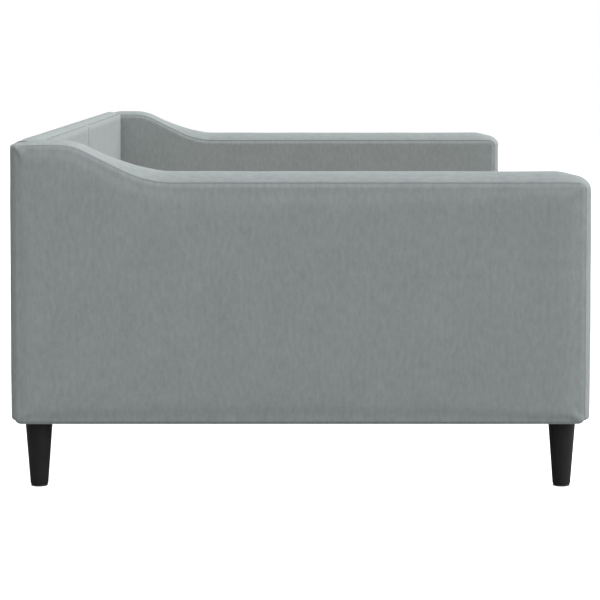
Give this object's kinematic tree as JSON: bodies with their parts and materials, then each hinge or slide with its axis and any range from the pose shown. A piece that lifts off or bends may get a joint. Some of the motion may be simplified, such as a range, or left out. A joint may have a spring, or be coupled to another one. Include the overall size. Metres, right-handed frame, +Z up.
{
  "type": "daybed",
  "caption": "Three-sided upholstered daybed with padded sloped arms, a padded back, a front rail, a slatted base and round tapered legs.",
  "frame": {"origin": "on the floor under the middle of the daybed's outline", "axes": "+X along the length, +Y towards the backrest, +Z up"},
  "size_m": [2.22, 1.15, 0.687],
  "materials": {
    "upholstery_fabric": "grey heathered woven polyester",
    "pine": "planed, unfinished",
    "black_lacquered_wood": "black satin lacquer",
    "dust_cloth": "black non-woven",
    "zinc_plated_steel": "zinc plated",
    "black_plastic": "moulded, fine grain"
  },
  "bodies": {
    "daybed_frame": {"back_joining_plate": "zinc_plated_steel", "centre_beam": "pine", "centre_leg": "pine", "centre_leg_insert": "zinc_plated_steel", "front_ledger": "pine", "front_left_bracket": "zinc_plated_steel", "front_left_bracket_bolt": "zinc_plated_steel", "front_left_glide": "black_plastic", "front_left_leg": "black_lacquered_wood", "front_rail_board": "pine", "front_rail_cover": "upholstery_fabric", "front_right_bracket": "zinc_plated_steel", "front_right_bracket_bolt": "zinc_plated_steel", "front_right_glide": "black_plastic", "front_right_leg": "black_lacquered_wood", "left_arm_dust_cover": "dust_cloth", "left_arm_edge_strip": "upholstery_fabric", "left_arm_frame": "pine", "left_arm_inner_pad": "upholstery_fabric", "left_arm_outer_pad": "upholstery_fabric", "left_back_frame": "pine", "left_back_pad": "upholstery_fabric", "left_back_plate_bolt": "zinc_plated_steel", "left_back_rear_panel": "upholstery_fabric", "left_beam_hanger": "zinc_plated_steel", "rear_ledger": "pine", "rear_left_bracket": "zinc_plated_steel", "rear_left_bracket_bolt": "zinc_plated_steel", "rear_left_glide": "black_plastic", "rear_left_leg": "black_lacquered_wood", "rear_right_bracket": "zinc_plated_steel", "rear_right_bracket_bolt": "zinc_plated_steel", "rear_right_glide": "black_plastic", "rear_right_leg": "black_lacquered_wood", "right_arm_dust_cover": "dust_cloth", "right_arm_edge_strip": "upholstery_fabric", "right_arm_frame": "pine", "right_arm_inner_pad": "upholstery_fabric", "right_arm_outer_pad": "upholstery_fabric", "right_back_frame": "pine", "right_back_pad": "upholstery_fabric", "right_back_plate_bolt": "zinc_plated_steel", "right_back_rear_panel": "upholstery_fabric", "right_beam_hanger": "zinc_plated_steel", "slat_01": "pine", "slat_02": "pine", "slat_03": "pine", "slat_04": "pine", "slat_05": "pine", "slat_06": "pine", "slat_07": "pine", "slat_08": "pine", "slat_09": "pine", "slat_10": "pine", "slat_11": "pine", "slat_12": "pine", "slat_13": "pine"},
    "foot_pad": {"levelling_pad": "black_plastic"},
    "foot_stem": {"levelling_stem": "zinc_plated_steel"}
  },
  "joints": [
    {"name": "foot_travel", "type": "slide", "parent": "daybed_frame", "child": "foot_pad", "axis": [0, 0, -1], "range_m": [-0.008, 0.015]},
    {"name": "foot_turn", "type": "hinge", "parent": "foot_pad", "child": "foot_stem", "pos_m": [0, 0, 0.03], "axis": [0, 0, -1], "range_deg": [-2310, 4325]}
  ],
  "couplings": [
    {"joint": "foot_turn", "follows": "foot_travel", "rad_per_m": 5026.5}
  ]
}
